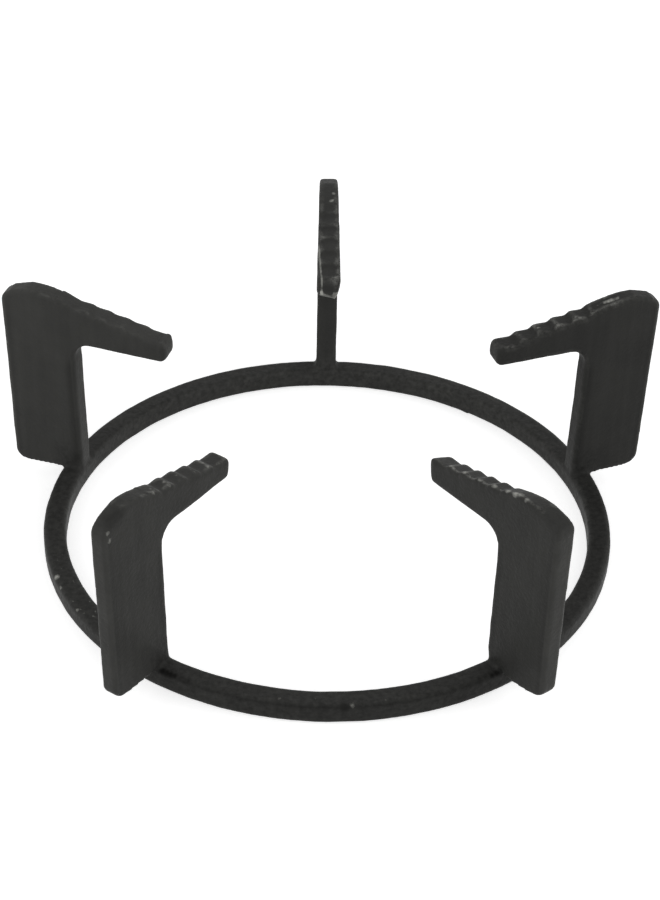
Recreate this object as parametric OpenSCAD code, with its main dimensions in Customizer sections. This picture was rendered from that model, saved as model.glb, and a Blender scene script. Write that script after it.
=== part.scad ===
// Pot stand for a gas burner, cast in one piece: a flat ring that lies round the
// burner, and five upright legs whose stepped fingers point to the middle and carry the pan.
// Origin: centre of the ring, on the plane that it rests on. +Z up, one leg at the back (+Y).

/* [Ring] */
// Outer diameter of the ring
ring_od = 200; // [180:1:240]
// Radial width of the ring's section
ring_w = 7.7; // [6:0.1:12]
// Height of the ring's section
ring_h = 7.6; // [6:0.1:12]
// Rounding of the ring's four edges
ring_edge_r = 1.2; // [0.4:0.1:2]

/* [Legs] */
// Number of legs
leg_count = 5; // [3:1:6]
// How far the inner edge of a leg stands back from the ring's bore
leg_setback = 0.4; // [0:0.1:3]
// How far a foot stands out past the ring
foot_reach = 18.9; // [8:0.1:30]
// Depth that a foot is sunk into the ring's top
foot_sink = 0.4; // [0.2:0.1:2]
// Rounding of the foot's outer corner, seen from the side
foot_r = 4; // [1:0.1:8]
// How far a leg leans outward over its height
leg_lean = 1.4; // [0:0.1:3]
// Thickness of a leg at its outer edge
leg_t = 6.6; // [5:0.1:10]

/* [Fingers] */
// Distance from the stand's axis to a fingertip
tip_reach = 59.2; // [50:0.1:66]
// Height of a finger's underside above the hob
finger_z = 61.6; // [45:0.1:80]
// Depth of a finger at its tip
tip_h = 7; // [5:0.1:12]
// Thickness of a finger at its tip
tip_t = 8.6; // [6:0.1:12]
// Rounding of the fingertip
tip_r = 2.2; // [0.5:0.1:2.4]
// Rounding of the inner corner between finger and leg
crook_r = 6.5; // [2:0.1:12]

/* [Steps on the fingers] */
// Number of steps
step_count = 5; // [3:1:5]
// Length of one step along the finger
step_pitch = 6.55; // [5:0.05:7]
// Rise of one step
step_rise = 1.6; // [0.8:0.1:2]
// Run of the slope between two steps
step_run = 2.4; // [1.5:0.1:3.5]
// Length of the flat at the tip, before the first step
tip_flat = 7.2; // [4:0.1:10]

/* [Shoulder] */
// Distance from the leg's outer edge in to the crest, the highest place
crest_in = 9.8; // [6:0.1:14]
// Height of the crest above the last step
crest_rise = 3.3; // [1:0.1:6]
// Fall from the crest to the outer corner
shoulder_fall = 2.5; // [1:0.1:8]
// Rounding of the outer corner
shoulder_r = 3; // [0.5:0.1:5]

/* [Casting] */
// Rounding of the edges of legs and fingers
edge_r = 1.5; // [0.5:0.1:2]
// Fillet where a leg grows out of the ring
root_r = 1.8; // [0.5:0.1:3]

/* [Hidden] */
iron = "#363735";

ring_r = ring_od / 2;
bore_r = ring_r - ring_w;
leg_in = bore_r + leg_setback;
leg_out = ring_r + foot_reach;
top_out = leg_out + leg_lean;
foot_z = ring_h - foot_sink;
tip_top = finger_z + tip_h;
step_start = tip_reach + tip_flat;
step_end = step_start + (step_count - 1) * step_pitch + step_run;
steps_top = tip_top + step_count * step_rise;
crest_r = top_out - crest_in;
crest_z = steps_top + crest_rise;
corner_z = crest_z - shoulder_fall;
crook_z = finger_z - crook_r;
ring_fn = 144;
// Number of segments in the roundings of edges and of outlines
edge_steps = 2;
round_steps = 3;
// Share of the fingertip's rounding that shows from above
tip_plan_share = 0.7;
// Largest share of a section's depth that one edge rounding may take
edge_share = 0.4;
// Places between the last step and the crest where the slope has a section
slope_shares = [0.35, 0.7];

// A leg leans outward: the places of its outer and inner edge at the height z
function lean(z) = leg_lean * (z - foot_z) / (corner_z - foot_z);
function outer_edge(z) = leg_out + lean(z);
function inner_edge(z) = leg_in + lean(z);

// Thickness of leg and finger at the distance r from the axis
function thickness(r) = leg_t + (tip_t - leg_t) * (top_out - r) / (top_out - tip_reach);

// The leg is a loft. Each section is [outer point, inner point, loss of half thickness], and each
// point is [distance from the axis, height]. The sections run from the fingertip down to the foot.
tip_sections = [
    for (i = [0:round_steps])
        let (
            a = i * 90 / round_steps,
            r = tip_reach + tip_r * (1 - cos(a)),
            drop = tip_r * (1 - sin(a))
        )
        [[r, tip_top - drop], [r, finger_z + drop], drop * tip_plan_share]
];

// Steps along the finger: two sections each, at the foot and the head of the slope
function step_point(i, up) = [step_start + i * step_pitch + up * step_run, tip_top + (i + up) * step_rise];
step_points = [for (i = [0:step_count - 1]) for (up = [0, 1]) step_point(i, up)];

// From the steps over the crest and round the shoulder, down to the height of the crook
top_points = concat(
    [for (t = slope_shares) [step_end + (crest_r - step_end) * t, steps_top + crest_rise * sin(t * 90)]],
    [[crest_r, crest_z], [top_out - shoulder_r, corner_z + shoulder_r * shoulder_fall / crest_in]],
    [for (i = [1:round_steps]) let (a = i * 90 / round_steps)
        [top_out - shoulder_r * (1 - sin(a)), corner_z - shoulder_r * (1 - cos(a))]],
    [[outer_edge(crook_z), crook_z]]
);

// Sections that stand over the straight underside, and those that turn round the crook
crook_start = inner_edge(crook_z) - crook_r;
over_points = [for (p = step_points) if (p[0] < crook_start) p];
turn_points = concat([for (p = step_points) if (p[0] >= crook_start) p], top_points);
over_sections = [for (p = over_points) [p, [p[0], finger_z], 0]];
turn_sections = [
    for (i = [0:len(turn_points) - 1])
        let (a = 90 * (1 - i / (len(turn_points) - 1)))
        [turn_points[i], [crook_start + crook_r * cos(a), crook_z + crook_r * sin(a)], 0]
];
foot_sections = [
    for (i = [0:round_steps])
        let (a = i * 90 / round_steps, z = foot_z + foot_r * (1 - sin(a)))
        [[outer_edge(z) - foot_r * (1 - cos(a)), z], [inner_edge(z), z], 0]
];
leg_sections = concat(tip_sections, over_sections, turn_sections, foot_sections);

// Closed outline of one section: a rounded rectangle between its outer and inner points
function section_outline(s) =
    let (
        depth = norm(s[1] - s[0]),
        inward = (s[1] - s[0]) / depth,
        e = min(edge_r, depth * edge_share),
        corner = [for (k = [0:edge_steps]) let (a = k * 90 / edge_steps) [e * (1 - cos(a)), e * (1 - sin(a))]],
        quarter = [for (c = corner) [s[0] + inward * c[0], c[1]]],
        opposite = [for (k = [edge_steps:-1:0]) [s[1] - inward * corner[k][0], corner[k][1]]],
        half = concat(quarter, opposite)
    )
    concat(
        [for (p = half) [p[0][0], thickness(p[0][0]) / 2 - s[2] - p[1], p[0][1]]],
        [for (k = [len(half) - 1:-1:0]) let (p = half[k]) [p[0][0], p[1] + s[2] - thickness(p[0][0]) / 2, p[0][1]]]
    );

module loft(sections) {
    outlines = [for (s = sections) section_outline(s)];
    n = len(outlines[0]);
    last = len(outlines) - 1;
    skin = [
        for (k = [0:last - 1])
            for (i = [0:n - 1])
                let (j = (i + 1) % n)
                [k * n + i, k * n + j, (k + 1) * n + j, (k + 1) * n + i]
    ];
    start_cap = [for (i = [n - 1:-1:0]) i];
    end_cap = [for (i = [0:n - 1]) last * n + i];
    polyhedron([for (o = outlines) each o], concat(skin, [start_cap, end_cap]));
}

// Concave fillets on both sides of a leg, on top of the ring
module leg_root() {
    hold = root_r / 3;
    for (side = [0, 1])
        mirror([0, side, 0])
            translate([bore_r + ring_edge_r, thickness(bore_r) / 2 - hold, ring_h - hold])
                rotate([90, 0, 90])
                    linear_extrude(ring_w - 2 * ring_edge_r)
                        difference() {
                            square(root_r + hold);
                            translate([root_r + hold, root_r + hold]) circle(root_r, $fn = 48);
                        }
}

// Section of the ring: a rectangle with rounded corners
function ring_corner(x, z, a0) = [
    for (i = [0:round_steps])
        let (a = a0 + i * 90 / round_steps)
        [x + ring_edge_r * cos(a), z + ring_edge_r * sin(a)]
];

module ring() {
    low = ring_edge_r;
    high = ring_h - ring_edge_r;
    section = concat(
        ring_corner(ring_r - ring_edge_r, high, 0),
        ring_corner(bore_r + ring_edge_r, high, 90),
        ring_corner(bore_r + ring_edge_r, low, 180),
        ring_corner(ring_r - ring_edge_r, low, 270)
    );
    rotate_extrude($fn = ring_fn) polygon(section);
}

module pot_stand() {
    color(iron) {
        ring();
        for (i = [0:leg_count - 1])
            rotate(90 + i * 360 / leg_count) {
                loft(leg_sections);
                leg_root();
            }
    }
}

pot_stand();
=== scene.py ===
# Five-armed pot stand for a gas burner, one black iron casting: a flat ring that lies round
# the burner, and five upright legs whose stepped fingers point inwards and carry the pan.

import math
import bmesh
import bpy
from collections import defaultdict
from mathutils import Matrix, Vector, noise


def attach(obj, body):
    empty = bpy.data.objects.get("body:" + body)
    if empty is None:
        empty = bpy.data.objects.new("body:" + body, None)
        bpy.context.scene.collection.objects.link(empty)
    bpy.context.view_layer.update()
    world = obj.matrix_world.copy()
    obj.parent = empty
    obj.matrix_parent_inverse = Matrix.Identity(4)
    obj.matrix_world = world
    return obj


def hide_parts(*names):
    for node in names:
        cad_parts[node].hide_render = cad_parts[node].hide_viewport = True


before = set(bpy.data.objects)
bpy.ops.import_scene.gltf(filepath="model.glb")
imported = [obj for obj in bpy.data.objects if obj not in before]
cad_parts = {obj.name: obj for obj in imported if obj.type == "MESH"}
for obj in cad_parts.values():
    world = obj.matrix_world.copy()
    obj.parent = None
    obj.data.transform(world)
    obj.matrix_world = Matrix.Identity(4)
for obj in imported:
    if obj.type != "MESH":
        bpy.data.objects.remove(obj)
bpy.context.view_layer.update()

# Camera. The photograph is taken from the front, 38 degrees above the hob, with a longish lens.
# The stand is turned by a degree in it, one leg at the back and the gap between two at the front.
view_distance = 0.77353   # metres
view_elevation = math.radians(37.979)
look_down = math.radians(35.814)
look_right = math.radians(0.038)
tilt = math.radians(1.217)
turn = math.radians(0.919)
in_front = view_distance * math.cos(view_elevation)
stand_point = Vector((0, -in_front, view_distance * math.sin(view_elevation)))

camera_data = bpy.data.cameras.new("camera")
camera_data.lens = 86.41
camera_data.sensor_width = 36
camera = bpy.data.objects.new("camera", camera_data)
camera.matrix_world = (
    Matrix.Rotation(-turn, 4, "Z")
    @ Matrix.Translation(stand_point)
    @ Matrix.Rotation(-look_right, 4, "Z")
    @ Matrix.Rotation(math.pi / 2 - look_down, 4, "X")
    @ Matrix.Rotation(tilt, 4, "Z")
)
bpy.context.scene.collection.objects.link(camera)
bpy.context.scene.camera = camera

# The casting. Grey iron poured in green sand as one piece: the ring, and five equal legs that
# grow out of it. Sand and draft leave every edge soft and every inner corner filleted.
# It is blacked all over with stove enamel, matt, a little worn along the serrated fingers, which also get
# painted sheen.
noise.seed_set(7)
mm = 0.001                # sizes are in millimetres, and this turns them to metres
ring_radius = 100.0
ring_width = 7.7
ring_height = 7.6
ring_edge = 1.4
bore_radius = ring_radius - ring_width
leg_count = 5
first_leg = math.pi / 2   # bearing of the back leg

# Places on a leg, seen from its side: distance from the stand's axis, and height
foot_low = 7.2
leg_inside = bore_radius + 0.4
leg_outside = 118.9
leg_lean = 1.4
foot_round = 4.0
shoulder_outside = leg_outside + leg_lean
tip_inside = 59.2
finger_low = 61.6
tip_high = 68.6
tip_round = 2.2
crook_round = 6.5
step_count = 5
step_first = 66.4
step_pitch = 6.55
step_rise = 1.6
step_slope = 2.4
steps_high = tip_high + step_count * step_rise
crest_inside = 110.5
crest_rise = 3.3
crest_high = steps_high + crest_rise
shoulder_fall = 2.5
shoulder_high = crest_high - shoulder_fall
shoulder_slope = 0.25     # fall of the top line just inside the shoulder, for each millimetre
shoulder_round = 3.0
edge_round = 1.2
root_fillet = 1.8
outer_thickness = 6.6
tip_thickness = 8.6


def leaning(height):
    """How much further out a leg stands at a height than at its foot."""
    return leg_lean * (height - foot_low) / (shoulder_high - foot_low)


def thickness(distance):
    """A leg's thickness at a distance from the stand's axis."""
    reach = (shoulder_outside - distance) / (shoulder_outside - tip_inside)
    return outer_thickness + (tip_thickness - outer_thickness) * reach


def quarter(index, count):
    """One of the angles that divide a quarter turn evenly."""
    return index / count * math.pi / 2


def s_curve(share):
    """Rises from 0 to 1 like half a wave, level at both ends."""
    return (1 - math.cos(share * math.pi)) / 2


# The leg's sections from the fingertip to the foot: outer point, inner point, loss of half thickness
turns = 8                 # parts of a quarter turn
tip_plan_share = 0.7      # how much of the fingertip's rounding shows from above
sections = []
for i in range(turns + 1):
    tip = tip_inside + tip_round * (1 - math.cos(quarter(i, turns)))
    drop = tip_round * (1 - math.sin(quarter(i, turns)))
    sections.append(((tip, tip_high - drop), (tip, finger_low + drop), drop * tip_plan_share))

# Each step's slope is drawn as an S, so that its foot and its crest come out round
slope_parts = 5
top_line = []
for i in range(step_count):
    for part in range(slope_parts + 1):
        share = part / slope_parts
        distance = step_first + i * step_pitch + share * step_slope
        top_line.append((distance, tip_high + (i + s_curve(share)) * step_rise))
last_step = top_line[-1][0]
crest_parts = 6
for i in range(1, crest_parts):
    share = i / crest_parts
    lift = math.sin(share * math.pi / 2) * crest_rise
    top_line.append((last_step + (crest_inside - last_step) * share, steps_high + lift))
top_line.append((crest_inside, crest_high))
top_line.append((shoulder_outside - shoulder_round, shoulder_high + shoulder_round * shoulder_slope))
for i in range(1, turns + 1):
    across = shoulder_round * (1 - math.sin(quarter(i, turns)))
    down = shoulder_round * (1 - math.cos(quarter(i, turns)))
    top_line.append((shoulder_outside - across, shoulder_high - down))
crook_low = finger_low - crook_round
top_line.append((leg_outside + leaning(crook_low), crook_low))

crook_start = leg_inside + leaning(crook_low) - crook_round
over_finger = [point for point in top_line if point[0] < crook_start]
round_crook = [point for point in top_line if point[0] >= crook_start]
for point in over_finger:
    sections.append((point, (point[0], finger_low), 0))
for i, point in enumerate(round_crook):
    angle = math.pi / 2 * (1 - i / (len(round_crook) - 1))
    corner = (crook_start + crook_round * math.cos(angle), crook_low + crook_round * math.sin(angle))
    sections.append((point, corner, 0))
for i in range(turns + 1):
    height = foot_low + foot_round * (1 - math.sin(quarter(i, turns)))
    back = foot_round * (1 - math.cos(quarter(i, turns)))
    outer = (leg_outside + leaning(height) - back, height)
    sections.append((outer, (leg_inside + leaning(height), height), 0))


edge_parts = 4
edge_share = 0.4          # the largest share of a section's depth that one edge's rounding takes


def section_outline(outer, inner, loss):
    """A rounded rectangle between a section's outer and inner points, its corners in metres."""
    depth = math.dist(outer, inner)
    inward = ((inner[0] - outer[0]) / depth, (inner[1] - outer[1]) / depth)
    edge = min(edge_round, depth * edge_share)
    angles = [quarter(k, edge_parts) for k in range(edge_parts + 1)]
    corner = [(edge * (1 - math.cos(angle)), edge * (1 - math.sin(angle))) for angle in angles]
    other_corner = [(depth - along, across) for along, across in corner[::-1]]
    near = []
    far = []
    for along, across in corner + other_corner:
        distance = outer[0] + inward[0] * along
        height = outer[1] + inward[1] * along
        half = thickness(distance) / 2 - loss - across
        near.append(Vector((distance, half, height)) * mm)
        far.append(Vector((distance, -half, height)) * mm)
    return near + far[::-1]


leg_mesh = bmesh.new()
outlines = [[leg_mesh.verts.new(point) for point in section_outline(*section)] for section in sections]
for this, following in zip(outlines, outlines[1:]):
    for i in range(len(this)):
        j = (i + 1) % len(this)
        leg_mesh.faces.new((this[i], this[j], following[j], following[i]))
leg_mesh.faces.new(outlines[0])
leg_mesh.faces.new(outlines[-1])

# Fillets at the leg's root, on both sides, over the flat of the ring and let a little into both
root_parts = 6
root_hold = 1
wall = thickness(bore_radius) / 2
low = ring_height - root_hold
for side in (-1, 1):
    fillet = [(wall - root_hold, low), (wall + root_fillet, low)]
    for i in range(root_parts + 1):
        angle = quarter(i, root_parts)
        across = wall + root_fillet * (1 - math.sin(angle))
        fillet.append((across, ring_height + root_fillet * (1 - math.cos(angle))))
    fillet.append((wall - root_hold, ring_height + root_fillet))
    ends = []
    for distance in (bore_radius + ring_edge, ring_radius - ring_edge):
        ends.append([leg_mesh.verts.new(Vector((distance, side * y, z)) * mm) for y, z in fillet])
    for i in range(len(fillet)):
        j = (i + 1) % len(fillet)
        leg_mesh.faces.new((ends[0][i], ends[0][j], ends[1][j], ends[1][i]))
    leg_mesh.faces.new(ends[0])
    leg_mesh.faces.new(ends[1])
bmesh.ops.recalc_face_normals(leg_mesh, faces=leg_mesh.faces)
leg_data = bpy.data.meshes.new("leg_blank")
leg_mesh.to_mesh(leg_data)
leg_mesh.free()


def from_hex(colour):
    """An sRGB colour such as #30302f as linear values for a shader."""
    values = [int(colour[i:i + 2], 16) / 255 for i in (1, 3, 5)]
    return [v / 12.92 if v <= 0.04045 else ((v + 0.055) / 1.055) ** 2.4 for v in values] + [1]


def add_node(tree, kind, settings=None, **links):
    """Adds one node. A link is named for its input, with _ for a space, or n and its number."""
    new = tree.nodes.new(kind)
    for name, value in (settings or {}).items():
        setattr(new, name, value)
    for name, value in links.items():
        place = int(name[1:]) if name[0] == "n" and name[1:].isdigit() else name.replace("_", " ")
        if isinstance(value, bpy.types.NodeSocket):
            tree.links.new(value, new.inputs[place])
        else:
            new.inputs[place].default_value = value
    return new


# Stove-blacked sand-cast iron: a thin matt enamel that follows the sand's grain, so it is rough
# and reflects little. Proud edges are painted greyer, for worn enamel and for painted sheen, and inner
# corners get painted shade.
cast_iron = bpy.data.materials.new("sand_cast_iron_stove_black")
cast_iron.use_nodes = True
tree = cast_iron.node_tree
tree.nodes.clear()
place = add_node(tree, "ShaderNodeTexCoord").outputs["Object"]
# Enamel flows and pools over about 12 mm
clouds = add_node(tree, "ShaderNodeTexNoise", Vector=place, Scale=85.0, Detail=3.0, Roughness=0.5)
enamel = add_node(
    tree, "ShaderNodeMix", {"data_type": "RGBA"},
    n0=clouds.outputs["Fac"], n6=from_hex("#2d2d2c"), n7=from_hex("#383836"),
)
# The pattern was drawn upwards out of the sand, which left faint streaks 3 mm apart up the legs
upright = add_node(tree, "ShaderNodeMapping", Vector=place, Scale=(1.0, 1.0, 0.06))
streaks = add_node(tree, "ShaderNodeTexNoise", Vector=upright.outputs[0], Scale=330.0, Detail=1.0)
shade = add_node(
    tree, "ShaderNodeMapRange",
    Value=streaks.outputs["Fac"], From_Min=0.3, From_Max=0.7, To_Min=0.94, To_Max=1.05,
)
# Lighter or darker from one leg to the next, with painted light and shade by which way a face looks
tone_and_painted_light = add_node(tree, "ShaderNodeAttribute", {"attribute_name": "tone_and_painted_light"})
thinned = add_node(
    tree, "ShaderNodeMath", {"operation": "MULTIPLY"},
    n0=shade.outputs[0], n1=tone_and_painted_light.outputs["Fac"],
)
# Boiled-over fat has left the ring mottled in spots of 2 mm
fat = add_node(tree, "ShaderNodeTexNoise", Vector=place, Scale=520.0, Detail=2.0, Roughness=0.6)
spotted = add_node(
    tree, "ShaderNodeMapRange",
    Value=fat.outputs["Fac"], From_Min=0.3, From_Max=0.7, To_Min=0.72, To_Max=1.28,
)
greasy = add_node(tree, "ShaderNodeAttribute", {"attribute_name": "greasy"})
mottle = add_node(
    tree, "ShaderNodeMix", {"data_type": "FLOAT"},
    n0=greasy.outputs["Fac"], n2=1.0, n3=spotted.outputs[0],
)
mottled = add_node(
    tree, "ShaderNodeMath", {"operation": "MULTIPLY"},
    n0=thinned.outputs[0], n1=mottle.outputs[0],
)
# Painted highlights along a leg's long outer edge, and painted shade in dark lines beside its long
# edges. The stops are millimetres from the edge and how light the colour is there. A ramp's colours end at
# 1, so it holds half of that.
lines_reach = 5.0
lightness = mottled.outputs[0]
for edge, stops in (
    ("from_outer", ((0.0, 1.2), (0.3, 1.32), (1.1, 1.25), (1.8, 0.88), (2.6, 0.9), (3.6, 1.0))),
    ("from_inner", ((0.0, 1.0), (1.1, 1.0), (1.7, 0.74), (2.6, 0.8), (4.0, 1.0))),
):
    distance = add_node(tree, "ShaderNodeAttribute", {"attribute_name": edge})
    share = add_node(tree, "ShaderNodeMapRange", Value=distance.outputs["Fac"], From_Max=lines_reach)
    line = add_node(tree, "ShaderNodeValToRGB", Fac=share.outputs[0])
    line.color_ramp.elements.remove(line.color_ramp.elements[1])
    for number, (stop, light) in enumerate(stops):
        spot = stop / lines_reach
        element = line.color_ramp.elements.new(spot) if number else line.color_ramp.elements[0]
        element.position = spot
        element.color = (light / 2, light / 2, light / 2, 1)
    twice = add_node(tree, "ShaderNodeMath", {"operation": "MULTIPLY"}, n0=line.outputs["Color"], n1=2.0)
    strength = add_node(tree, "ShaderNodeAttribute", {"attribute_name": edge + "_line"})
    drawn_line = add_node(
        tree, "ShaderNodeMix", {"data_type": "FLOAT"},
        n0=strength.outputs["Fac"], n2=1.0, n3=twice.outputs[0],
    )
    lined = add_node(
        tree, "ShaderNodeMath", {"operation": "MULTIPLY"},
        n0=lightness, n1=drawn_line.outputs[0],
    )
    lightness = lined.outputs[0]
streaked = add_node(
    tree, "ShaderNodeMix", {"data_type": "RGBA", "blend_type": "MULTIPLY"},
    n0=1.0, n6=enamel.outputs[2], n7=lightness,
)
# Moulding sand has grains of 0.2 to 0.4 mm; drawn at 1.2 mm, so that it shows from a step away
grain = add_node(tree, "ShaderNodeTexNoise", Vector=place, Scale=830.0, Detail=2.0, Roughness=0.6)
# Where proud edges are worn and painted with sheen and glints
wear_and_sheen = add_node(tree, "ShaderNodeAttribute", {"attribute_name": "wear_and_sheen"})
# Worn places, painted sheen and glints, chips and the painted rim line are broken up in pieces of about 2
# mm
breakup = add_node(tree, "ShaderNodeTexNoise", Vector=place, Scale=420.0, Detail=4.0, Roughness=0.75)
patches = add_node(tree, "ShaderNodeMapRange", Value=breakup.outputs["Fac"], From_Min=0.38, From_Max=0.68)
# Pans rub some places more than others, and the painted sheen follows, in patches of about 10 mm
pans = add_node(tree, "ShaderNodeTexNoise", Vector=place, Scale=100.0, Detail=1.0)
rubs = add_node(
    tree, "ShaderNodeMapRange",
    Value=pans.outputs["Fac"], From_Min=0.4, From_Max=0.6, To_Min=0.25,
)
uneven = add_node(
    tree, "ShaderNodeMath", {"operation": "MULTIPLY"},
    n0=rubs.outputs[0], n1=patches.outputs[0],
)
wear_and_sheen_amount = add_node(
    tree, "ShaderNodeMath", {"operation": "MULTIPLY"},
    n0=wear_and_sheen.outputs["Fac"], n1=uneven.outputs[0],
)
# Worn enamel and painted sheen lighten the crests and edges to a pale grey
rub_and_sheen = add_node(
    tree, "ShaderNodeMix", {"data_type": "RGBA"},
    n0=wear_and_sheen_amount.outputs[0], n6=streaked.outputs[2], n7=from_hex("#9e9e99"),
)
# Painted shade in the inner corners at the legs' feet, and dark spots, darken the colour
corners = add_node(tree, "ShaderNodeAttribute", {"attribute_name": "shade_and_dark_spots"})
shaded = add_node(
    tree, "ShaderNodeMix", {"data_type": "RGBA"},
    n0=corners.outputs["Fac"], n6=rub_and_sheen.outputs[2], n7=from_hex("#151514"),
)
# The painted highlight line on the back finger is about 1 mm wide
beside = add_node(tree, "ShaderNodeAttribute", {"attribute_name": "beside_rim"})
either_side = add_node(tree, "ShaderNodeMath", {"operation": "ABSOLUTE"}, n0=beside.outputs["Fac"])
rim = add_node(tree, "ShaderNodeMapRange", Value=either_side.outputs[0], From_Min=0.6, From_Max=0.2)
rim_here = add_node(tree, "ShaderNodeAttribute", {"attribute_name": "rim_here"})
# Chips down to the iron, painted glints and painted highlight lines end in a ragged line
chips_and_highlight_spots = add_node(tree, "ShaderNodeAttribute", {"attribute_name": "chips_and_highlights"})
rimmed = add_node(
    tree, "ShaderNodeMath", {"operation": "MULTIPLY_ADD"},
    n0=rim.outputs[0], n1=rim_here.outputs["Fac"], n2=chips_and_highlight_spots.outputs["Fac"],
)
ragged = add_node(
    tree, "ShaderNodeMath", {"operation": "MULTIPLY"},
    n0=breakup.outputs["Fac"], n1=rimmed.outputs[0],
)
bare = add_node(tree, "ShaderNodeMapRange", Value=ragged.outputs[0], From_Min=0.16, From_Max=0.5)
surface = add_node(
    tree, "ShaderNodeMix", {"data_type": "RGBA"},
    n0=bare.outputs[0], n6=shaded.outputs[2], n7=from_hex("#a7a7a1"),
)
rough = add_node(
    tree, "ShaderNodeMapRange",
    Value=grain.outputs["Fac"], From_Min=0.3, From_Max=0.7, To_Min=0.44, To_Max=0.56,
)
relief = add_node(tree, "ShaderNodeBump", Height=grain.outputs["Fac"], Strength=0.8, Distance=0.2 * mm)
shader = add_node(
    tree, "ShaderNodeBsdfPrincipled",
    Base_Color=surface.outputs[2], Roughness=rough.outputs[0], Normal=relief.outputs[0],
    Metallic=0.0, IOR=1.5, Specular_IOR_Level=0.06,
)
add_node(tree, "ShaderNodeOutputMaterial", Surface=shader.outputs[0])

# The ring and the five legs are set out by one rule: so many legs, evenly round the bore
ring_parts = 360
ring_edge_parts = 5
layout = bpy.data.node_groups.new("legs_round_the_ring", "GeometryNodeTree")
sockets = {}
for name, kind in (
    ("Leg", "NodeSocketGeometry"), ("Leg Count", "NodeSocketInt"), ("First Leg", "NodeSocketFloat"),
    ("Ring Radius", "NodeSocketFloat"), ("Ring Width", "NodeSocketFloat"),
    ("Ring Height", "NodeSocketFloat"), ("Ring Edge", "NodeSocketFloat"), ("Iron", "NodeSocketMaterial"),
):
    sockets[name] = layout.interface.new_socket(name, in_out="INPUT", socket_type=kind).identifier
layout.interface.new_socket("Casting", in_out="OUTPUT", socket_type="NodeSocketGeometry")
given = add_node(layout, "NodeGroupInput").outputs
seats = add_node(layout, "GeometryNodeMeshLine", Count=given["Leg Count"], Offset=(0, 0, 0))
number = add_node(layout, "GeometryNodeInputIndex")
spacing = add_node(
    layout, "ShaderNodeMath", {"operation": "DIVIDE"},
    n0=2 * math.pi, n1=given["Leg Count"],
)
bearing = add_node(
    layout, "ShaderNodeMath", {"operation": "MULTIPLY_ADD"},
    n0=number.outputs[0], n1=spacing.outputs[0], n2=given["First Leg"],
)
turned = add_node(layout, "ShaderNodeCombineXYZ", Z=bearing.outputs[0])
legs = add_node(
    layout, "GeometryNodeInstanceOnPoints",
    Points=seats.outputs[0], Instance=given["Leg"], Rotation=turned.outputs[0],
)
middle = add_node(
    layout, "ShaderNodeMath", {"operation": "MULTIPLY_ADD"},
    n0=given["Ring Width"], n1=-0.5, n2=given["Ring Radius"],
)
circle = add_node(
    layout, "GeometryNodeCurvePrimitiveCircle",
    Resolution=ring_parts, Radius=middle.outputs[0],
)
bar = add_node(
    layout, "GeometryNodeCurvePrimitiveQuadrilateral",
    Width=given["Ring Width"], Height=given["Ring Height"],
)
soft_bar = add_node(
    layout, "GeometryNodeFilletCurve", {"mode": "POLY"},
    Curve=bar.outputs[0], Radius=given["Ring Edge"], Count=ring_edge_parts,
)
ring = add_node(
    layout, "GeometryNodeCurveToMesh",
    Curve=circle.outputs[0], Profile_Curve=soft_bar.outputs[0],
)
half_height = add_node(layout, "ShaderNodeMath", {"operation": "MULTIPLY"}, n0=given["Ring Height"], n1=0.5)
lift = add_node(layout, "ShaderNodeCombineXYZ", Z=half_height.outputs[0])
seated = add_node(layout, "GeometryNodeTransform", Geometry=ring.outputs[0], Translation=lift.outputs[0])
joined = add_node(layout, "GeometryNodeJoinGeometry")
layout.links.new(legs.outputs[0], joined.inputs[0])
layout.links.new(seated.outputs[0], joined.inputs[0])
real = add_node(layout, "GeometryNodeRealizeInstances", Geometry=joined.outputs[0])
coated = add_node(layout, "GeometryNodeSetMaterial", Geometry=real.outputs[0], Material=given["Iron"])
add_node(layout, "NodeGroupOutput", n0=coated.outputs[0])

blank = bpy.data.objects.new("casting_blank", leg_data)
bpy.context.scene.collection.objects.link(blank)
rule = blank.modifiers.new("legs_round_the_ring", "NODES")
rule.node_group = layout
for name, value in (
    ("Leg Count", leg_count), ("First Leg", first_leg), ("Ring Radius", ring_radius * mm),
    ("Ring Width", ring_width * mm), ("Ring Height", ring_height * mm), ("Ring Edge", ring_edge * mm),
    ("Iron", cast_iron),
):
    rule[sockets[name]] = value

# One skin over ring and legs, then a light smoothing, as sand leaves no sharp line anywhere
skin = blank.modifiers.new("one_skin", "REMESH")
skin.mode = "VOXEL"
skin.voxel_size = 0.6 * mm
skin.use_smooth_shade = True
soften = blank.modifiers.new("soften", "SMOOTH")
soften.factor = 0.5
soften.iterations = 2
thin_out = blank.modifiers.new("thin_out", "DECIMATE")
thin_out.ratio = 0.55
evaluated = blank.evaluated_get(bpy.context.evaluated_depsgraph_get())
casting_mesh = bpy.data.meshes.new_from_object(evaluated)
casting_mesh.name = "casting"
bpy.data.objects.remove(blank)
casting_mesh.materials.clear()
casting_mesh.materials.append(cast_iron)

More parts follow.
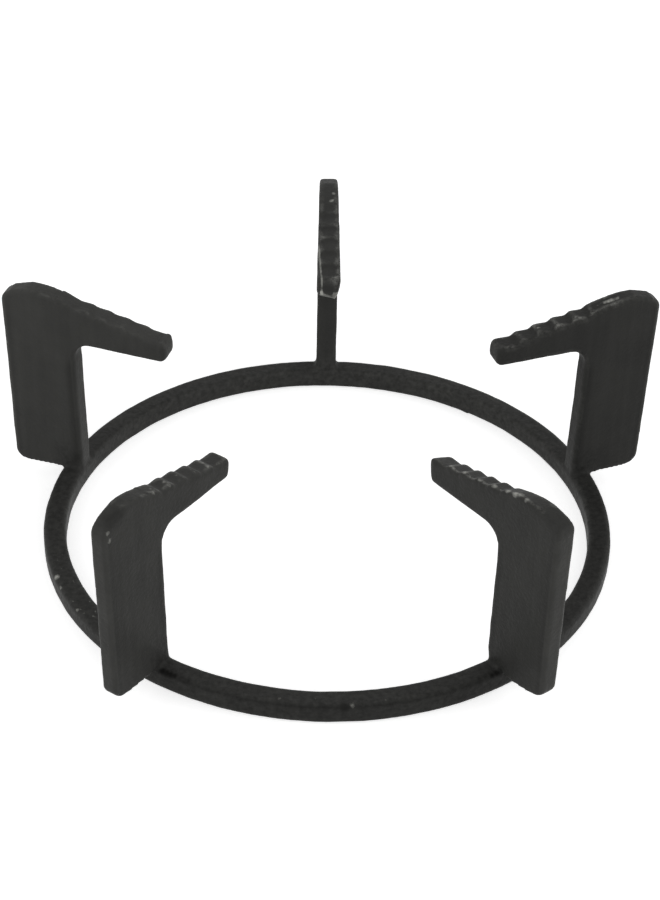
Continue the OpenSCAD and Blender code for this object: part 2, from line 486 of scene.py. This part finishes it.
# The five legs are drawn equal, but no two came out of the sand alike. One row a leg, from the
# back one round by the left: how far off it is in millimetres, as the photograph shows it.
# turn: along the ring, and turn_top: that again at the top. out, out_top: outwards. up_top: taller.
# tip_out, tip_up: the fingertip. finger_up: the middle of the finger. shoulder_up, foot_up: the
# outer side. corner_out, corner_up: the outer corner of the shoulder. thick: on each broad side.
# inner: the inner edge outwards. fill: the share of the notches between the steps that the iron
# fills. left_up, right_up: the two edges of the steps. tip_sag, tip_cut: the tip's low right
# corner. tip_under: the tip's low edge outwards. foot_cut: off the foot's right outer corner.
off_pattern = (
    {"turn": 0.3, "out": 0.1, "out_top": 0.1, "up_top": 0.25, "tip_up": 0.1, "finger_up": 0.1,
     "shoulder_up": 0.2, "fill": 0.2, "right_up": 0.3, "tip_sag": 1.9, "tip_cut": 1.4},
    {"turn": -0.6, "turn_top": -0.1, "out": 0.3, "out_top": -0.15, "up_top": 0.2, "tip_out": -0.6,
     "tip_up": -0.3, "finger_up": 0.15, "shoulder_up": -0.15, "foot_up": -0.3, "thick": 0.2,
     "fill": 0.5, "inner": -0.28},
    {"turn": 0.3, "turn_top": -0.2, "out": 0.3, "out_top": 0.15, "tip_out": 0.45, "tip_up": 0.75,
     "finger_up": 0.65, "shoulder_up": -0.8, "thick": -0.4, "fill": 0.2, "left_up": -0.1,
     "corner_out": -0.5, "corner_up": 0.3, "tip_under": 0.4},
    {"turn": 0.7, "turn_top": -0.45, "out": -0.6, "out_top": 0.45, "up_top": -0.3, "tip_out": -0.2,
     "tip_up": -0.5, "finger_up": -0.4, "shoulder_up": 0.8, "foot_up": 0.9, "thick": 0.15,
     "left_up": -0.6, "right_up": 2.5, "corner_out": 0.4, "corner_up": 0.7, "tip_under": 0.8,
     "foot_cut": 0.9},
    {"turn": 0.3, "turn_top": -0.2, "out": 0.1, "out_top": 0.6, "up_top": 0.3, "tip_out": -0.25,
     "tip_up": -0.2, "finger_up": 0.1, "shoulder_up": 0.2, "foot_up": 0.65, "thick": -0.1},
)
# The ring is out of round too: that much wider and shallower, as a share of its size
ring_wider = 0.0028
ring_shallower = 0.0014
# Where an offset fades in. Heights
foot_to_crest = (8, 78)
off_the_ring = (7, 13)
leg_to_finger = (50, 58)
leg_to_shoulder = (50, 66)
leg_to_foot = (55, 10)
crook_to_leg = (60, 54)
underside_to_steps = (62, 67)
finger_to_steps = (63, 67)
down_the_tip = (66, 62)
# Distances from the axis
past_the_ring = (100.5, 104)
bore_side = (108, 94)
out_to_the_foot = (106, 118)
crest_to_steps = (114, 100)
finger_to_tip = (78, 61)
last_of_the_tip = (66, 61)
# Places across a leg, to its left
middle_to_side = 3
middle_to_right = (0, -3)
beside_a_leg = (6, 14)
left_to_right = (5, -3.5)
tip_right_side = (-1, -4)
# Where an offset is greatest, in distances from the axis, and how far it spreads
tip_hill = (60, 14)
finger_hill = (82, 12)
shoulder_hill = (119, 7)
foot_hill = (119, 8)
corner_spread = 3


def ramp(value, start, end):
    """0 up to start, 1 past end, and evenly between them."""
    return min(1, max(0, (value - start) / (end - start)))


def hill(value, middle, width):
    """1 at the middle, and falling smoothly to both sides."""
    return math.exp(-((value - middle) / width) ** 2)


def directions(leg):
    """Out along a leg from the stand's axis, and across the leg to its left."""
    bearing = first_leg + leg * 2 * math.pi / leg_count
    outwards = Vector((math.cos(bearing), math.sin(bearing), 0))
    return outwards, Vector((-math.sin(bearing), math.cos(bearing), 0))


def depth_of_notch(distance):
    """How far the steps lie under a straight line over their crests."""
    step = math.floor((distance - step_first) / step_pitch)
    if not -1 <= step < step_count:
        return 0
    share = min(1, (distance - step_first - step * step_pitch) / step_slope)
    top = tip_high + (step + s_curve(share)) * step_rise
    crests = tip_high + ((distance - step_first - step_slope) / step_pitch + 1) * step_rise
    return max(0, crests - top)


shape = bmesh.new()
shape.from_mesh(casting_mesh)
drawn = [vert.co / mm for vert in shape.verts]
leg_of = []
for vert, point in zip(shape.verts, drawn):
    leg = round((math.atan2(point.y, point.x) - first_leg) / (2 * math.pi) * leg_count) % leg_count
    leg_of.append(leg)
    outwards, sideways = directions(leg)
    distance = point.dot(outwards)
    across = point.dot(sideways)
    off = defaultdict(float, off_pattern[leg])
    high = ramp(point.z, *foot_to_crest)
    own = max(ramp(point.z, *off_the_ring), ramp(distance, *past_the_ring))
    shift = Vector((ring_wider * point.x, -ring_shallower * point.y, 0)) * (1 - own)
    # The whole leg, and its broad and narrow sides
    beside_leg = ramp(abs(across), *beside_a_leg)
    shift += sideways * (off["turn"] + off["turn_top"] * high) * (1 - beside_leg)
    shift += sideways * off["thick"] * max(-1, min(1, across / middle_to_side)) * own
    shift += outwards * (off["out"] + off["out_top"] * high) * own
    shift += outwards * off["inner"] * ramp(distance, *bore_side) * own * ramp(point.z, *crook_to_leg)
    shift.z += off["up_top"] * high
    # The shoulder and the foot
    shift.z += off["shoulder_up"] * hill(distance, *shoulder_hill) * ramp(point.z, *leg_to_shoulder)
    shift.z += off["foot_up"] * (1 - high) * hill(distance, *foot_hill)
    corner = hill(math.dist((distance, point.z), (shoulder_outside, shoulder_high)), 0, corner_spread)
    shift += (outwards * off["corner_out"] + Vector((0, 0, off["corner_up"]))) * corner
    foot_corner = ramp(distance, *out_to_the_foot) * ramp(point.z, *leg_to_foot)
    shift += sideways * off["foot_cut"] * ramp(across, *middle_to_right) * foot_corner
    # The finger and its steps
    shift.z += off["finger_up"] * hill(distance, *finger_hill) * ramp(point.z, *underside_to_steps)
    to_left = 0.5 + across / tip_thickness
    edges_up = off["left_up"] * to_left + off["right_up"] * (1 - to_left)
    steps_up = depth_of_notch(distance) * off["fill"] + edges_up * ramp(distance, *crest_to_steps)
    shift.z += steps_up * ramp(point.z, *finger_to_steps)
    # The fingertip
    tip = hill(distance, *tip_hill) * ramp(point.z, *leg_to_finger)
    shift += outwards * off["tip_out"] * tip
    shift.z += off["tip_up"] * tip
    low = ramp(point.z, *down_the_tip)
    low_tip = low * ramp(distance, *last_of_the_tip) * ramp(point.z, *leg_to_finger)
    shift += outwards * off["tip_under"] * low_tip
    shift += sideways * off["tip_cut"] * ramp(across, *tip_right_side) * low_tip
    shift.z -= off["tip_sag"] * ramp(across, *left_to_right) * low * ramp(distance, *finger_to_tip)
    vert.co += shift * mm

# Sand leaves the skin a little uneven, in long waves and short ones of up to a tenth of a
# millimetre. The enamel is another tenth thick.
long_wave = 9 * mm
long_height = 0.1
short_wave = 3 * mm
short_height = 0.06
enamel_thickness = 0.1
elsewhere = Vector((40, 0, 0))   # so that the short waves don't follow the long ones
shape.normal_update()
unevenness = []
for vert in shape.verts:
    height = long_height * noise.noise(vert.co / long_wave)
    height += short_height * noise.noise(vert.co / short_wave + elsewhere)
    unevenness.append(vert.normal * (enamel_thickness + height) * mm)
for vert, shift in zip(shape.verts, unevenness):
    vert.co += shift
    vert.co.z = max(0, vert.co.z)
shape.normal_update()

# How proud each place is of its neighbours, as a bend in radians for each millimetre, smoothed
bend = []
for vert in shape.verts:
    total = 0
    for edge in vert.link_edges:
        other = edge.other_vert(vert)
        step = vert.co - other.co
        total += (vert.normal - other.normal).dot(step) / step.length_squared
    bend.append(total / len(vert.link_edges) * mm)
for i in range(2):
    bend = [
        (bend[v.index] + sum(bend[e.other_vert(v).index] for e in v.link_edges)) / (1 + len(v.link_edges))
        for v in shape.verts
    ]

# From which bend an edge is proud and a corner hollow, and at which bend it is wholly so
proud_bend = (0.06, 0.31)
hollow_bend = (0, -0.12)
# How much the enamel is worn and painted with sheen, one number a leg from the back one round by the left.
# It is worn and painted lighter on the crests of the steps, where pans slide and the light catches, and
# less along other edges.
leg_wear_and_sheen = (0.6, 0.25, 0.8, 1.2, 1.1)
least_on_steps = 0.1
wear_and_sheen_elsewhere = 0.06
# The steps lie over this height and within this distance from the axis
steps_over = 60 * mm
steps_within = 112 * mm
# Where that wear changes: across a front leg, and out along a front leg and along a side one
near_edge = (3.1, 3.7)
front_crest = (101, 107)
side_tip = (61, 64)
# The painted highlight line on the back finger: how far left of the middle it is at the tip, how much
# further for each millimetre outwards, how bright, and where it ends. Then how bright the painted highlight
# on the tip's lower edge is.
rim_start = 60
rim_across = 2.6
rim_slant = 0.06
rim_highlight_strength = 0.62
rim_end = (82, 77)
low_rim_highlight_strength = 0.65
# How light each leg is, then the painted light on its top faces and on its inner face, how much lighter it
# gets towards the outer edge, and the painted light on that edge
leg_tone = (1.0, 1.22, 1.05, 0.95, 0.84)
top_painted_light = (1.0, 1.1, 1.06, 1.05, 1.0)
inner_painted_light = (1.0, 1.08, 1.0, 1.0, 1.08)
outward_fade = (0.0, 0.02, 0.0, 0.0, 0.09)
outer_edge_painted_light = (1.0, 1.0, 1.0, 1.15, 1.0)
# How light it is on the ring, and on the ring's left and right sides. Then the bearings of those
# sides, in degrees from straight left or right, and of the front, each with how far it spreads.
ring_tone = 0.97
ring_left_tone = 0.88
ring_right_tone = 0.62
side_bearing = (-8, 35)
front_bearing = (-90, 45)
# How much painted light makes the ring lighter in its bore, how much painted shade makes it darker on its
# outer wall, how much painted light makes the top of its front lighter, and how much darker the outer line
# of its front is
ring_bore_painted_light = 0.2
ring_wall_painted_shade = 0.07
front_top_painted_light = 0.08
front_line_darker = 0.45
# How squarely a face has to look inwards, outwards or upwards before it counts as such a face, and
# how squarely to count as one wholly. The outer line is on the faces that look halfway up.
ring_side_faces = (0.3, 0.8)
ring_top_faces = (0.8, 0.95)
leg_edge_faces = (0.6, 0.9)
leg_top_faces = (0.5, 0.8)
line_faces = (0.45, 0.35)
line_outward = (0.1, 0.4)
# Heights: where the ring's tone and painted light turn into a leg's, where the painted lines beside a leg's
# long edges end, and where the painted shade in the corners at its foot ends, with how dark that is
ring_to_leg = (8, 20)
under_the_shoulder = (76, 72)
under_the_crook = (57, 52)
down_to_the_ring = (20, 10)
corner_shade = 0.3
# Painted shade in streaks on the ring's outer edge, in the corners beside the feet of the two front legs
# and beside a chip, and a dark patch on the left one's shoulder: place and size in millimetres, and how
# dark
dark_spots = []
dark_spot_edge = (1, 0.4)    # in sizes from a streak's middle, where it begins and where it is full
for x, y, z, size, depth in (
    (-53.9, -83.7, 7.3, 1.7, 0.9), (-52.4, -84.6, 7.3, 1.6, 0.9), (-50.9, -85.4, 7.3, 1.5, 0.9),
    (-49.6, -86.0, 7.4, 1.2, 0.9), (55.3, -82.6, 7.4, 1.6, 0.9), (54.0, -83.5, 7.3, 1.5, 0.9),
    (52.6, -84.6, 7.3, 1.2, 0.9), (-66.2, -95.6, 78.2, 4.0, 0.3), (-64.5, -93.5, 78.4, 4.0, 0.3),
    (5.2, -99.6, 6.6, 2.0, 0.7),
):
    dark_spots.append((Vector((x, y, z)), size, depth))

# Chips down to the grey iron, and painted glints on the steps of the fingers and the right leg's crest:
# place and size in millimetres, and how bare each chip is and how bright each glint is
chips_and_glints = []
for x, y, z, size, mark_strength in (
    (-92.5, -36.3, 7.4, 2.0, 0.9), (-90.7, -41.7, 7.2, 1.6, 0.8), (-83.8, -53.6, 7.4, 1.5, 0.7),
    (7.6, -99.0, 7.3, 2.3, 0.6), (18.2, -96.9, 7.6, 1.8, 0.5),
    (-15.6, -96.6, 7.6, 1.7, 0.45), (-4.3, -96.8, 7.6, 1.7, 0.45), (1.7, 103.9, 79.1, 1.4, 0.8),
    (1.0, 100.1, 78.2, 1.7, 1.0), (-66.8, -97.2, 72.5, 1.7, 0.8), (-67.3, -97.6, 75.4, 1.7, 0.7),
    (-40.5, -55.0, 69.9, 1.7, 0.7), (-38.8, -57.6, 70.2, 1.5, 0.6), (-44.0, -61.2, 71.8, 1.5, 0.6),
    (-42.6, -62.8, 71.8, 1.5, 0.5), (-48.4, -66.6, 73.4, 1.5, 0.6), (-51.9, -72.2, 75.0, 1.8, 0.7),
    (-49.8, -73.8, 74.7, 1.6, 0.6), (-55.7, -77.9, 76.8, 1.5, 0.7), (-54.3, -80.0, 76.8, 1.5, 0.7),
    (38.0, -57.2, 70.5, 2.0, 0.75), (36.6, -55.2, 69.5, 1.7, 0.6), (42.2, -62.9, 72.2, 2.2, 0.85),
    (46.3, -68.7, 73.8, 2.0, 0.8), (50.1, -73.9, 75.4, 2.3, 0.85), (48.4, -70.8, 73.4, 1.4, 0.5),
    (54.1, -79.4, 77.1, 2.1, 0.9), (52.3, -76.3, 74.9, 1.4, 0.6), (56.2, -82.2, 77.8, 2.2, 1.0),
    (57.6, -83.0, 78.2, 2.4, 0.8), (59.3, -85.9, 78.9, 2.2, 0.7),
    (71.9, 23.7, 71.8, 1.6, 0.7), (79.7, 23.4, 73.4, 1.4, 0.7), (95.0, 30.7, 78.2, 1.7, 0.8),
    (96.4, 30.9, 78.5, 1.9, 0.9), (97.5, 31.2, 78.8, 2.0, 1.0), (99.2, 31.6, 79.2, 1.7, 0.9),
):
    chips_and_glints.append((Vector((x, y, z)), size, mark_strength))
# A scuff with a painted glint along the near edge of the right leg's crest, and pits strewn over the ring's
# left side
scuff_and_glint_spots = 9
for i in range(scuff_and_glint_spots):
    spot = Vector((93 + 0.8 * i, 30.0 + 0.3 * i, 77.6 + 0.22 * i)) + noise.random_unit_vector() * 0.5
    chips_and_glints.append((spot, 1.1 + 0.5 * noise.random(), 0.55 + 0.4 * noise.random()))
pits = 46
for i in range(pits):
    bearing = math.radians(194 + 24 * noise.random())
    distance = ring_radius - 0.6 - 5.5 * noise.random()
    spot = Vector((distance * math.cos(bearing), distance * math.sin(bearing), ring_height))
    chips_and_glints.append((spot, 0.5 + 0.7 * noise.random(), 0.35 + 0.35 * noise.random()))

# What the material reads at each place, one attribute for each name
back_leg, left_leg, front_left_leg, front_right_leg, right_leg = range(leg_count)
marks = defaultdict(list)
for vert, point, leg in zip(shape.verts, drawn, leg_of):
    outwards, sideways = directions(leg)
    distance = point.dot(outwards)
    across = point.dot(sideways)
    upwards = vert.normal.z

    # The front fingers are worn and painted with sheen in from their near edge, and the side ones hardly at
    # the tip
    proud = ramp(bend[vert.index], *proud_bend)
    on_steps = vert.co.z > steps_over and vert.co.xy.length < steps_within
    on_top = max(least_on_steps, 1 - 1.4 * abs(vert.normal.dot(sideways)))
    rub_and_sheen = on_top if on_steps else wear_and_sheen_elsewhere
    if leg in (front_left_leg, front_right_leg):
        near_side = across if leg == front_left_leg else -across
        rub_and_sheen *= (1 - 0.7 * ramp(near_side, *near_edge)) * (1 - 0.6 * ramp(distance, *front_crest))
    if leg in (left_leg, right_leg):
        rub_and_sheen *= 0.2 + 0.8 * ramp(distance, *side_tip)
    marks["wear_and_sheen"].append(proud * rub_and_sheen * leg_wear_and_sheen[leg])

    # Painted light makes the ring's bore lighter, and in front its top, with a dark line outside it
    own = max(ramp(point.z, *ring_to_leg), ramp(point.xy.length, *past_the_ring))
    to_right = hill(math.degrees(math.atan2(point.y, point.x)), *side_bearing)
    to_left = hill(math.degrees(math.atan2(point.y, -point.x)), *side_bearing)
    to_front = hill(math.degrees(math.atan2(point.y, point.x)), *front_bearing)
    inward = -vert.normal.xy.dot(point.xy.normalized())
    on_ring = ring_tone + (ring_right_tone - ring_tone) * to_right + (ring_left_tone - ring_tone) * to_left
    in_bore = ramp(inward, *ring_side_faces)
    on_wall = ramp(-inward, *ring_side_faces)
    on_ring *= 1 + ring_bore_painted_light * in_bore - ring_wall_painted_shade * on_wall
    on_ring *= 1 + to_front * front_top_painted_light * ramp(upwards, *ring_top_faces)
    outer_line = hill(upwards, *line_faces) * ramp(-inward, *line_outward)
    on_ring *= 1 - to_front * front_line_darker * outer_line
    # Painted light on a leg's outer, inner and top faces, and lighter towards its outer edge
    facing = vert.normal.dot(outwards)
    on_leg = 1 + (outer_edge_painted_light[leg] - 1) * ramp(facing, *leg_edge_faces)
    on_leg += (inner_painted_light[leg] - 1) * ramp(-facing, *leg_edge_faces)
    on_leg += outward_fade[leg] * (2 * ramp(distance, leg_inside, leg_outside) - 1)
    on_leg *= 1 + (top_painted_light[leg] - 1) * ramp(upwards, *leg_top_faces)
    marks["tone_and_painted_light"].append(on_ring + (leg_tone[leg] * on_leg - on_ring) * own)
    marks["greasy"].append(1 - own)

    # Millimetres from a leg's long edges, and where the painted highlight and shade lines beside them are
    marks["from_outer"].append(leg_outside + leaning(point.z) - distance)
    marks["from_outer_line"].append(own * ramp(point.z, *under_the_shoulder))
    marks["from_inner"].append(distance - leg_inside - leaning(point.z))
    marks["from_inner_line"].append(own * ramp(point.z, *under_the_crook))

    # Painted shade in the corners at a leg's foot, and dark spots
    spot_darkness = max(
        depth * ramp((point - spot).length / size, *dark_spot_edge)
        for spot, size, depth in dark_spots
    )
    foot_corner = corner_shade * ramp(point.z, *down_to_the_ring) * ramp(bend[vert.index], *hollow_bend)
    marks["shade_and_dark_spots"].append(max(foot_corner, spot_darkness))

    # The back finger gets a painted highlight in a line beside its left edge, and along the tip's lower
    # edge
    marks["beside_rim"].append(across - rim_across - rim_slant * (distance - rim_start))
    on_finger = leg == back_leg and upwards > -0.5 and point.z > 60
    marks["rim_here"].append(rim_highlight_strength * ramp(distance, *rim_end) if on_finger else 0)
    low_edge = leg == back_leg and 60 < point.z < 64 and distance < 61 and across < 3.2
    to_the_front = upwards < 0.1 and vert.normal.y < -0.3
    low_rim = low_rim_highlight_strength * ramp(proud, 0, 0.5) if low_edge and to_the_front else 0
    spot_mark = max(bare * (1 - (point - spot).length / size) for spot, size, bare in chips_and_glints)
    marks["chips_and_highlights"].append(max(low_rim, spot_mark))
shape.to_mesh(casting_mesh)
shape.free()
for name, values in marks.items():
    casting_mesh.attributes.new(name, "FLOAT", "POINT").data.foreach_set("value", values)

casting = bpy.data.objects.new("casting", casting_mesh)
bpy.context.scene.collection.objects.link(casting)
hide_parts("pot_stand")
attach(casting, "root")

# Table and room: a white sheet under the stand and a white studio round it. The sheet keeps
# the stand's shadow, and a little light of its own, only where it is seen, takes it up to white.
reach = 4
sheet_mesh = bpy.data.meshes.new("floor")
corners = [(-reach, -reach, 0), (reach, -reach, 0), (reach, reach, 0), (-reach, reach, 0)]
sheet_mesh.from_pydata(corners, [], [(0, 1, 2, 3)])
floor = bpy.data.objects.new("floor", sheet_mesh)
bpy.context.scene.collection.objects.link(floor)


def where_seen(tree):
    """1 for the camera and for reflections, and 0 for the light that falls on the stand."""
    rays = add_node(tree, "ShaderNodeLightPath")
    mirrored = add_node(
        tree, "ShaderNodeMath", {"operation": "MAXIMUM"},
        n0=rays.outputs["Is Camera Ray"], n1=rays.outputs["Is Glossy Ray"],
    )
    seen = add_node(
        tree, "ShaderNodeMath", {"operation": "MAXIMUM"},
        n0=mirrored.outputs[0], n1=rays.outputs["Is Transmission Ray"],
    )
    return seen.outputs[0]


white_sheet = bpy.data.materials.new("white_paper_sheet")
white_sheet.use_nodes = True
tree = white_sheet.node_tree
tree.nodes.clear()
sheet_light = 0.6
paper = add_node(tree, "ShaderNodeBsdfDiffuse", Color=from_hex("#e6e6e6"))
own_light = add_node(
    tree, "ShaderNodeMath", {"operation": "MULTIPLY"},
    n0=where_seen(tree), n1=sheet_light,
)
glow = add_node(tree, "ShaderNodeEmission", Color=from_hex("#ffffff"), Strength=own_light.outputs[0])
sheet = add_node(tree, "ShaderNodeAddShader", n0=paper.outputs[0], n1=glow.outputs[0])
add_node(tree, "ShaderNodeOutputMaterial", Surface=sheet.outputs[0])
sheet_mesh.materials.append(white_sheet)

world = bpy.data.worlds.new("studio")
world.use_nodes = True
tree = world.node_tree
tree.nodes.clear()
# A white tent, a little brighter behind the stand than round the camera
heading = add_node(tree, "ShaderNodeTexCoord").outputs["Generated"]
parts = add_node(tree, "ShaderNodeSeparateXYZ", Vector=heading)
tent = add_node(
    tree, "ShaderNodeMapRange",
    Value=parts.outputs["Y"], From_Min=-1.0, To_Min=0.41, To_Max=0.53,
)
strength = add_node(
    tree, "ShaderNodeMix", {"data_type": "FLOAT"},
    n0=where_seen(tree), n2=tent.outputs[0], n3=1.0,
)
room = add_node(tree, "ShaderNodeBackground", Color=from_hex("#ffffff"), Strength=strength.outputs[0])
add_node(tree, "ShaderNodeOutputWorld", Surface=room.outputs[0])
bpy.context.scene.world = world

# Three large soft lamps, turned to the middle of the stand: place, and power in watts
lamp_size = 1.6
lit_point = Vector((0, 0, 0.03))
for name, spot, power in (
    ("left_box", (-1.3, -0.4, 0.6), 7.6),
    ("right_box", (1.4, 0.0, 0.6), 10.3),
    ("front_box", (0.0, -1.5, 0.9), 6.2),
):
    lamp_data = bpy.data.lights.new(name, "AREA")
    lamp_data.shape = "DISK"
    lamp_data.size = lamp_size
    lamp_data.energy = power
    lamp = bpy.data.objects.new(name, lamp_data)
    lamp.location = spot
    lamp.rotation_euler = (lit_point - lamp.location).to_track_quat("-Z", "Y").to_euler()
    bpy.context.scene.collection.objects.link(lamp)

bpy.context.scene.view_settings.view_transform = "Standard"
